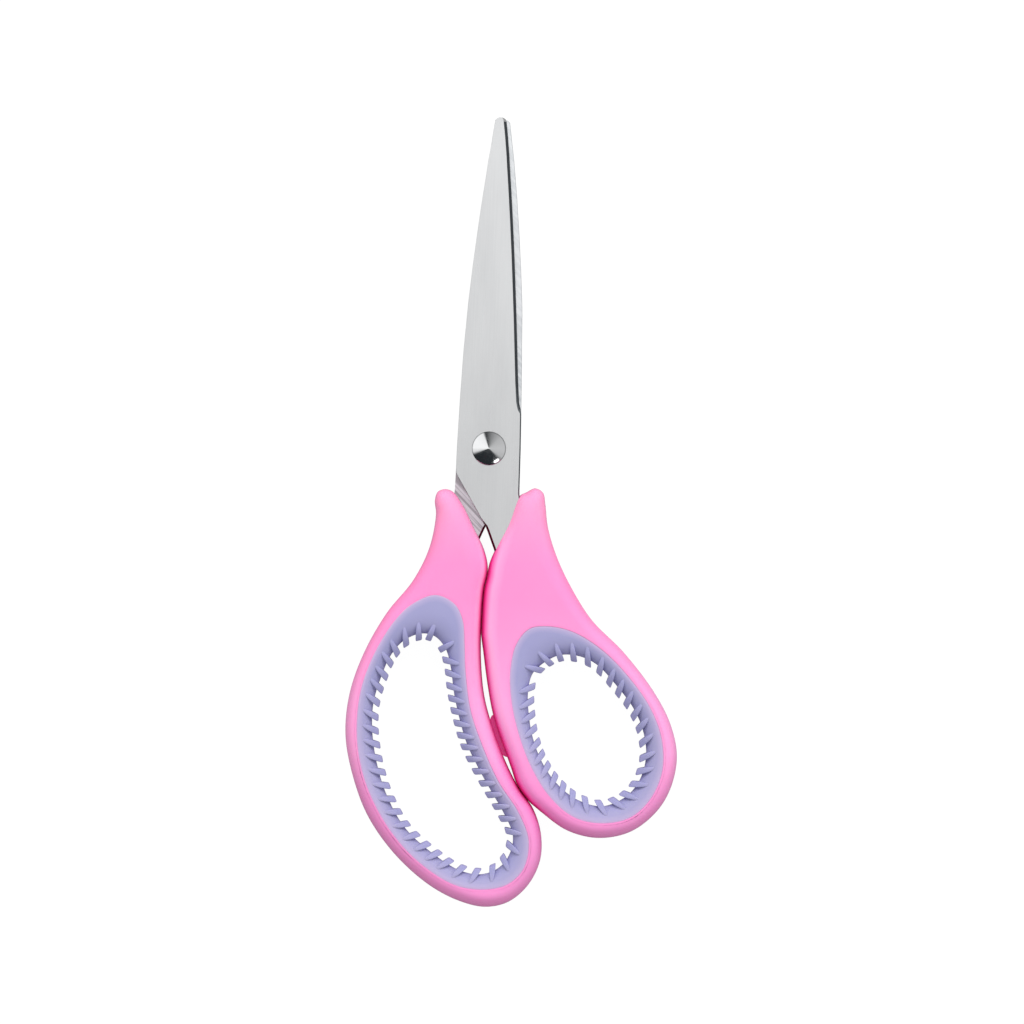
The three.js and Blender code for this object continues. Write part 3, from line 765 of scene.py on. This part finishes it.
def pink_plastic():
    """Moulded handle plastic: satin, with a very fine eggshell from the mould and a slightly uneven shade.
    Painted light and shade drift down it: it is paler at the ears, more lilac round the bows and deeper at
    their foot. Painted shade deepens it on the low flanks and along the seam. Where the other handle comes
    close, which in_crevice tells, painted shade takes it down to magenta, beside a shoulder that is painted
    paler above and deeper below."""
    plastic = Finish("handle_pink_plastic")
    place = plastic.place()
    cloud = plastic.noise(place, 45.0, 2.0)
    middle = plastic.blend(
        plastic.spread(cloud, 0.3, 0.7, 0.0, 1.0), (0.94, 0.232, 0.500), (0.95, 0.250, 0.525))
    off_middle = plastic.math("ABSOLUTE", plastic.math("SUBTRACT", plastic.axis("Z"), MID * MM))
    twin = plastic.stored("in_crevice")
    # A painted highlight on the shoulder beside the crevice, and painted shade on it lower down.
    shoulder = plastic.math(
        "MULTIPLY", plastic.spread(twin, 1.3, 2.3, 0.0, 0.55), plastic.spread(twin, 2.5, 4.6, 1.0, 0.0))
    shoulder_highlight = plastic.math("MULTIPLY", shoulder, plastic.band("Y", -60, -38, 0.0, 1.0))
    shoulder_shade = plastic.math(
        "MULTIPLY", plastic.spread(twin, 1.0, 5.5, 0.7, 0.0), plastic.band("Y", -66, -54, 1.0, 0.0))
    colour = plastic.layers(middle, [
        # painted light and shade drifting down the handle: lilac bows, a deeper foot, paler ears
        (plastic.band("Y", -50, -24, 1.0, 0.0), (0.86, 0.315, 0.600)),  # the bows
        (plastic.band("Y", -76, -64, 1.0, 0.0), (0.79, 0.255, 0.548)),  # their foot
        (plastic.band("Y", -14, 2, 0.0, 1.0), (0.945, 0.300, 0.535)),  # the ears
        # painted shade on the low flanks, near the middle plane
        (plastic.spread(off_middle, 0.2 * MM, 2.6 * MM, 0.17, 0.0), (0.80, 0.13, 0.40)),  # the low flanks
        # painted highlight, then painted shade, on the shoulder beside the crevice
        (shoulder_highlight, (0.95, 0.40, 0.66)),
        (shoulder_shade, (0.78, 0.170, 0.47)),
        # painted shade in the crevice between the handles, deepening to dark magenta where they meet
        (plastic.spread(twin, 0.7, 2.0, 0.75, 0.0), (0.88, 0.110, 0.41)),  # close to the other handle
        (plastic.spread(twin, 0.5, 1.3, 0.9, 0.0), (0.84, 0.045, 0.34)),  # deeper in the crevice
        (plastic.spread(twin, 0.35, 0.85, 0.9, 0.0), (0.72, 0.018, 0.22)),  # where the two meet
        # painted shade in a fine line along the seam
        (plastic.spread(plastic.stored("from_seam"), 0.05, 1.1, 0.45, 0.0), (0.77, 0.220, 0.50)),
    ])
    return plastic.surface({
        "Base Color": colour,
        "Roughness": plastic.spread(cloud, 0.3, 0.7, 0.36, 0.44),
        "Normal": plastic.bump(plastic.noise(place, 2600.0, 2.0), 0.10, 0.00004),
        "IOR": 1.48,
        "Subsurface Weight": 0.08,
        "Subsurface Radius": (1.0, 0.35, 0.6),
        "Subsurface Scale": 0.0008,
    })


def shaded_pink():
    """The closing stop: the same plastic in painted shade, deep magenta as it is deep between the bows,
    where only pink light reaches it.
    """
    plastic = Finish("closing_stop_painted_shade")
    cloud = plastic.noise(plastic.place(), 300.0, 2.0)
    return plastic.surface({
        "Base Color": plastic.blend(cloud, (0.66, 0.018, 0.24), (0.76, 0.035, 0.30)),
        "Roughness": 0.35,
    })


def lavender_rubber():
    """Soft grip rubber with a fine matt grain, lifted by painted light low down between the fins. It thins
    out over the pink towards the seam, where it turns warmer and, with painted light, paler, over a wider
    painted band at the foot of the bow. The mesh stores from_seam, in millimetres."""
    rubber = Finish("grip_lavender_rubber")
    place = rubber.place()
    cloud = rubber.noise(place, 60.0, 2.0)
    body = rubber.blend(
        rubber.spread(cloud, 0.3, 0.7, 0.0, 1.0), (0.292, 0.288, 0.500), (0.316, 0.310, 0.524))
    depth = rubber.stored("from_seam")
    # Painted light on the foot of the bow's lining, which faces the light.
    painted_light_foot = rubber.math(
        "MULTIPLY", rubber.spread(depth, 0.8, 4.4, 1.0, 0.0), rubber.band("Y", -64, -44, 1.0, 0.0))
    colour = rubber.layers(body, [
        # painted light that lifts the shade low down between the fins
        (rubber.band("Z", 7.8, 10.2, 0.8, 0.0), (0.395, 0.355, 0.625)),  # low down between the fins
        (painted_light_foot, (0.360, 0.328, 0.525)),
        # the pink showing through where the rubber thins, and painted light on its rounded edge
        (rubber.spread(depth, 0.1, 1.8, 1.0, 0.0), (0.440, 0.374, 0.580)),  # the thin band
        (rubber.spread(depth, 0.0, 0.5, 0.4, 0.0), (0.74, 0.40, 0.64)),  # its very edge
    ])
    return rubber.surface({
        "Base Color": colour,
        "Roughness": rubber.spread(cloud, 0.3, 0.7, 0.54, 0.62),
        "Normal": rubber.bump(rubber.noise(place, 3200.0, 3.0, 0.6), 0.16, 0.00004),
        "IOR": 1.5,
        "Subsurface Weight": 0.1,
        "Subsurface Radius": (0.7, 0.6, 1.0),
        "Subsurface Scale": 0.0008,
    })


def brushed(steel, light, dark):
    """Brushes blade steel along its length and gives its colour: noise stretched eightyfold along the blade
    tints it, changes its roughness and grooves it, and painted shade darkens it by nearly a fifth towards
    the handles."""
    along = steel.place((1.0, 80.0, 1.0), BLADE_LEAN)
    hair = steel.noise(along, 5200.0, 4.0, 0.62)
    streak = steel.noise(along, 2000.0, 4.0, 0.65)
    cloud = steel.noise(steel.place((1.0, 4.0, 1.0), BLADE_LEAN), 110.0, 3.0, 0.55)
    shade = steel.spread(steel.math("MULTIPLY_ADD", streak, 0.8, cloud), 0.70, 1.10, 0.0, 1.0)
    steel.surface({
        "Metallic": 1.0,
        "Roughness": steel.spread(streak, 0.3, 0.7, 0.27, 0.36),
        "Normal": steel.bump(hair, 0.12, 0.00002),
    })
    # painted shade darkening the steel towards the handles
    return steel.blend(1.0, steel.blend(shade, dark, light), steel.band("Y", 0, 100, 0.82, 1.0), "MULTIPLY")


def front_steel():
    """The front blade's outer face: plain brushed satin steel."""
    steel = Finish("front_blade_satin_steel")
    return steel.surface({"Base Color": brushed(steel, (0.835, 0.84, 0.845), (0.76, 0.765, 0.772))})


def rear_steel():
    """The rear blade's inner face: the same steel, but cross-ground, so that slanting bands lie side by side.
    Below the pivot they are strong and dark, with a painted reflection of the pink handle and painted shade
    beside it; beyond the pivot they are fainter and grey."""
    steel = Finish("rear_blade_satin_steel")
    plain = brushed(steel, (0.93, 0.945, 0.965), (0.88, 0.90, 0.915))
    slanted = steel.place((1.0, 40.0, 1.0), math.radians(43.0))
    bands = steel.noise(slanted, 1500.0, 2.0, 0.5)
    ropes = steel.noise(slanted, 1000.0, 1.0, 0.4)
    faint = steel.math(
        "MULTIPLY", steel.spread(ropes, 0.42, 0.58, 0.0, 1.0), steel.band("Y", 35, 60, 0.55, 0.22))
    grey = steel.blend(faint, plain, (0.50, 0.53, 0.56))
    # painted reflection of the pink handle and painted shade beside it, below the pivot
    reflected_pink_and_shade = steel.blend(
        steel.spread(bands, 0.42, 0.58, 0.0, 1.0), (0.36, 0.32, 0.35), (0.66, 0.60, 0.65))
    return steel.surface({"Base Color": steel.blend(steel.band("Y", 11.5, 14, 1.0, 0.0), grey, reflected_pink_and_shade)})


def ground_steel(name, dark, light, fade=0.0):
    """Steel ground across the blade: rougher than the face, with short marks across, in dark colours that are
    a painted reflection. With fade that painted reflection darkens by that share from 28.5 to 34.5 mm along
    the part."""
    steel = Finish(name)
    marks = steel.noise(steel.place((12.0, 1.0, 1.0), BLADE_LEAN), 4200.0, 3.0, 0.6)
    far = steel.band("Y", 28.5, 34.5, 0.0, fade)
    return steel.surface({
        "Base Color": steel.blend(far, steel.blend(marks, dark, light), (0.105, 0.118, 0.13)),
        "Metallic": 1.0,
        "Roughness": steel.spread(marks, 0.3, 0.7, 0.28, 0.40),
        "Normal": steel.bump(marks, 0.2, 0.00002),
    })


def mirror_steel():
    """The rivet: polished to a mirror, with faint buffing marks, and painted shade darkening the low rim of
    the head.
    """
    steel = Finish("polished_rivet_steel")
    haze = steel.noise(steel.place(), 900.0, 3.0, 0.6)
    bright = steel.blend(haze, (0.89, 0.895, 0.905), (0.95, 0.955, 0.965))
    return steel.surface({
        # painted shade on the low rim of the head
        "Base Color": steel.blend(steel.band("Z", 8.2, 8.5, 0.85, 0.0), bright, (0.09, 0.095, 0.10)),
        "Metallic": 1.0,
        "Roughness": steel.spread(haze, 0.3, 0.7, 0.10, 0.15),
    })


def washer_steel():
    """The washer: plain rolled steel, faintly mottled."""
    steel = Finish("washer_rolled_steel")
    mottle = steel.noise(steel.place(), 1500.0, 4.0, 0.6)
    return steel.surface({
        "Base Color": steel.blend(mottle, (0.52, 0.53, 0.54), (0.66, 0.67, 0.68)),
        "Metallic": 1.0,
        "Roughness": steel.spread(mottle, 0.3, 0.7, 0.28, 0.42),
        "Normal": steel.bump(mottle, 0.15, 0.00003),
    })


# ---------------------------------------------------------------- the pieces


def settle(piece, body, slot, *nodes):
    """Puts a piece on its body and lets it stand for its CAD solids. Its slot is not used."""
    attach(piece, body)
    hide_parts(*nodes)
    return piece


pink, stop_pink, lavender = pink_plastic(), shaded_pink(), lavender_rubber()
face_steel, inner_steel = front_steel(), rear_steel()
# The bevel and the start of the bevel: dark steel colours that are painted reflections.
bevel_steel = ground_steel("ground_bevel_steel", (0.08, 0.090, 0.10), (0.135, 0.15, 0.162))
notch_steel = ground_steel("bevel_start_steel", (0.24, 0.27, 0.295), (0.34, 0.375, 0.40), 1.0)
# The tang's edge: the pink handle's reflection painted on as dark red steel.
tang_pink_reflection = ground_steel("tang_edge_painted_pink_reflection", (0.12, 0.004, 0.022), (0.17, 0.009, 0.04))

# The thumb handle's outline is laid against the finger handle's in two spans of height, a hair's breadth off.
CREVICE_SPANS = [(-32.9, -15.2), (-77.4, -71.2)]
CREVICE_GAP = 0.002
left_loop = smooth_loop(FINGER_OUTLINE, 2400)
right_loop = drawn_up(smooth_loop(THUMB_OUTLINE, 1900), left_loop, CREVICE_SPANS, CREVICE_GAP)

left_handle = mesh_object("left_handle", [handle_shell(left_loop, FINGER_SEAM)], [pink], 50.0)
mark_distance(left_handle, "from_seam", FINGER_SEAM)
mark_crevice(left_handle, left_loop, right_loop, 2.2)
settle(left_handle, "finger_half", "handle_plastic", "finger_handle")

right_parts = [handle_shell(right_loop, THUMB_SEAM), closing_stop()]
right_handle = mesh_object("right_handle", right_parts, [pink, stop_pink], 50.0)
mark_distance(right_handle, "from_seam", THUMB_SEAM)
mark_crevice(right_handle, right_loop, left_loop, 1.0)
settle(right_handle, "thumb_half", "handle_plastic", "thumb_handle")

left_parts = [grip_ring(FINGER_SEAM, FINGER_BORE), *fins(FINGER_SEAM, FINGER_BORE, FINGER_FINS)]
left_lining = mesh_object("left_lining", left_parts, [lavender], 55.0)
mark_distance(left_lining, "from_seam", FINGER_SEAM)
settle(left_lining, "finger_half", "grip_rubber", "finger_grip")

right_parts = [grip_ring(THUMB_SEAM, THUMB_BORE), *fins(THUMB_SEAM, THUMB_BORE, THUMB_FINS)]
right_lining = mesh_object("right_lining", right_parts, [lavender], 55.0)
mark_distance(right_lining, "from_seam", THUMB_SEAM)
settle(right_lining, "thumb_half", "grip_rubber", "thumb_grip")

ground = [bevel_steel, notch_steel, tang_pink_reflection]
settle(blade("upper_blade", FRONT, FRONT_LOW, FRONT_TIP, [face_steel, *ground]),
       "thumb_half", "blade_steel", "front_blade")
settle(blade("lower_blade", REAR, REAR_LOW, REAR_TIP, [inner_steel, *ground]),
       "finger_half", "blade_steel", "rear_blade")
settle(turned("domed_rivet", rivet_profile(), [mirror_steel()]),
       "finger_half", "rivet_steel", "pivot_rivet")
settle(turned("back_washer", washer_profile(), [washer_steel()]),
       "finger_half", "washer_steel", "rivet_washer")

# ---------------------------------------------------------------- the table and the studio light

TABLE_HALF = 1.5
DOME_RADIUS = 1.4
DOME_COLUMNS, DOME_ROWS = 96, 24

# How bright the dome's panels are at each angle round it, in degrees from +X.
PANELS = [
    (-180, 0.84), (-170, 0.80), (-158, 0.02), (-50, 0.02), (-34, 0.48), (0, 0.56), (42, 0.48), (78, 0.25),
    (100, 0.05), (105, 0.03), (112, 0.90), (150, 0.98),
]


def staged(name, vertices, faces, material):
    """A piece of the studio, which isn't part of the object."""
    mesh = bpy.data.meshes.new(name)
    mesh.from_pydata(vertices, [], faces)
    mesh.materials.append(material)
    made = bpy.data.objects.new(name, mesh)
    bpy.context.scene.collection.objects.link(made)
    return made


def sheet_of_table(name, height, colour, glow):
    """A flat square at that height, matt, that also glows a little so that shadows stay pale."""
    material = Finish(name).surface({
        "Base Color": (colour, colour, colour, 1),
        "Roughness": 0.9,
        "Specular IOR Level": 0.1,
        "Emission Color": (1, 1, 1, 1),
        "Emission Strength": glow,
    })
    corners = [(TABLE_HALF * x, TABLE_HALF * y, height) for x, y in ((-1, -1), (1, -1), (1, 1), (-1, 1))]
    return staged(name, corners, [(0, 1, 2, 3)], material)


def soft_box(name, place, size, power, glossy=True):
    """An area lamp that faces the middle of the table and that no camera sees."""
    data = bpy.data.lights.new(name, "AREA")
    data.shape, data.size, data.size_y = "RECTANGLE", size[0], size[1]
    data.energy = power
    lamp = bpy.data.objects.new(name, data)
    lamp.location = place
    lamp.rotation_euler = (-Vector(place)).to_track_quat("-Z", "Y").to_euler()
    lamp.visible_camera = False
    lamp.visible_glossy = glossy
    bpy.context.scene.collection.objects.link(lamp)


def studio_dome():
    """The walls and panels that polished surfaces mirror: half a sphere, radius * (cos a cos b, sin a cos b,
    sin b), split round its axis into a white panel on the left, a grey one on the right with a dark gap
    between, and a black front, under an even ceiling that starts some 60 degrees up."""
    panels = Finish("studio_panels", "ShaderNodeEmission")
    angle = panels.math("ARCTAN2", panels.axis("Y"), panels.axis("X"))
    ramp = panels.node("ShaderNodeValToRGB", {"Fac": panels.spread(angle, -math.pi, math.pi, 0.0, 1.0)})
    stops = ramp.color_ramp.elements
    while len(stops) < len(PANELS):
        stops.new(0.5)
    for stop, (degrees, level) in zip(stops, PANELS):
        stop.position = (degrees + 180) / 360
        stop.color = (level, level + 0.003, level + 0.006, 1)
    ceiling = panels.band("Z", 1215, 1275, 0.0, 1.0)
    material = panels.surface({
        "Color": panels.blend(ceiling, ramp.outputs["Color"], (0.98, 0.985, 0.99)),
        "Strength": 1.0,
    })
    material.cycles.emission_sampling = "NONE"
    turn, rise = np.meshgrid(
        np.linspace(0, 2 * np.pi, DOME_COLUMNS, endpoint=False),
        np.linspace(0, np.pi / 2, DOME_ROWS, endpoint=False))
    level = np.cos(rise)
    points = DOME_RADIUS * np.dstack([np.cos(turn) * level, np.sin(turn) * level, np.sin(rise)])
    last = (DOME_ROWS - 1) * DOME_COLUMNS
    faces = ring_faces(DOME_ROWS, DOME_COLUMNS).tolist() + [list(range(last, last + DOME_COLUMNS))]
    dome = staged("studio_dome", points.reshape(-1, 3).tolist(), faces, material)
    dome.visible_camera = dome.visible_diffuse = dome.visible_shadow = False


table = sheet_of_table("pale_table", -0.0001, 0.06, 0.975)
table.visible_diffuse = table.visible_glossy = table.visible_shadow = False
under = sheet_of_table("table_bounce", -0.0004, 0.28, 0.0)
under.visible_camera = False
studio_dome()
world = bpy.data.worlds.new("studio")
world.use_nodes = True
world.node_tree.nodes["Background"].inputs["Color"].default_value = (1.0, 1.0, 1.0, 1)
world.node_tree.nodes["Background"].inputs["Strength"].default_value = 0.70
bpy.context.scene.world = world
world.cycles_visibility.glossy = False
soft_box("key_soft_box", (0.12, 0.9, 0.8), (1.5, 0.6), 14.0, glossy=False)
soft_box("right_fill", (0.95, 0.15, 0.35), (0.5, 0.4), 1.8, glossy=False)
soft_box("left_fill", (-0.95, 0.25, 0.35), (0.5, 0.4), 1.6, glossy=False)
soft_box("small_lamp", (0.52, -0.85, 0.6), (0.36, 0.36), 0.9)
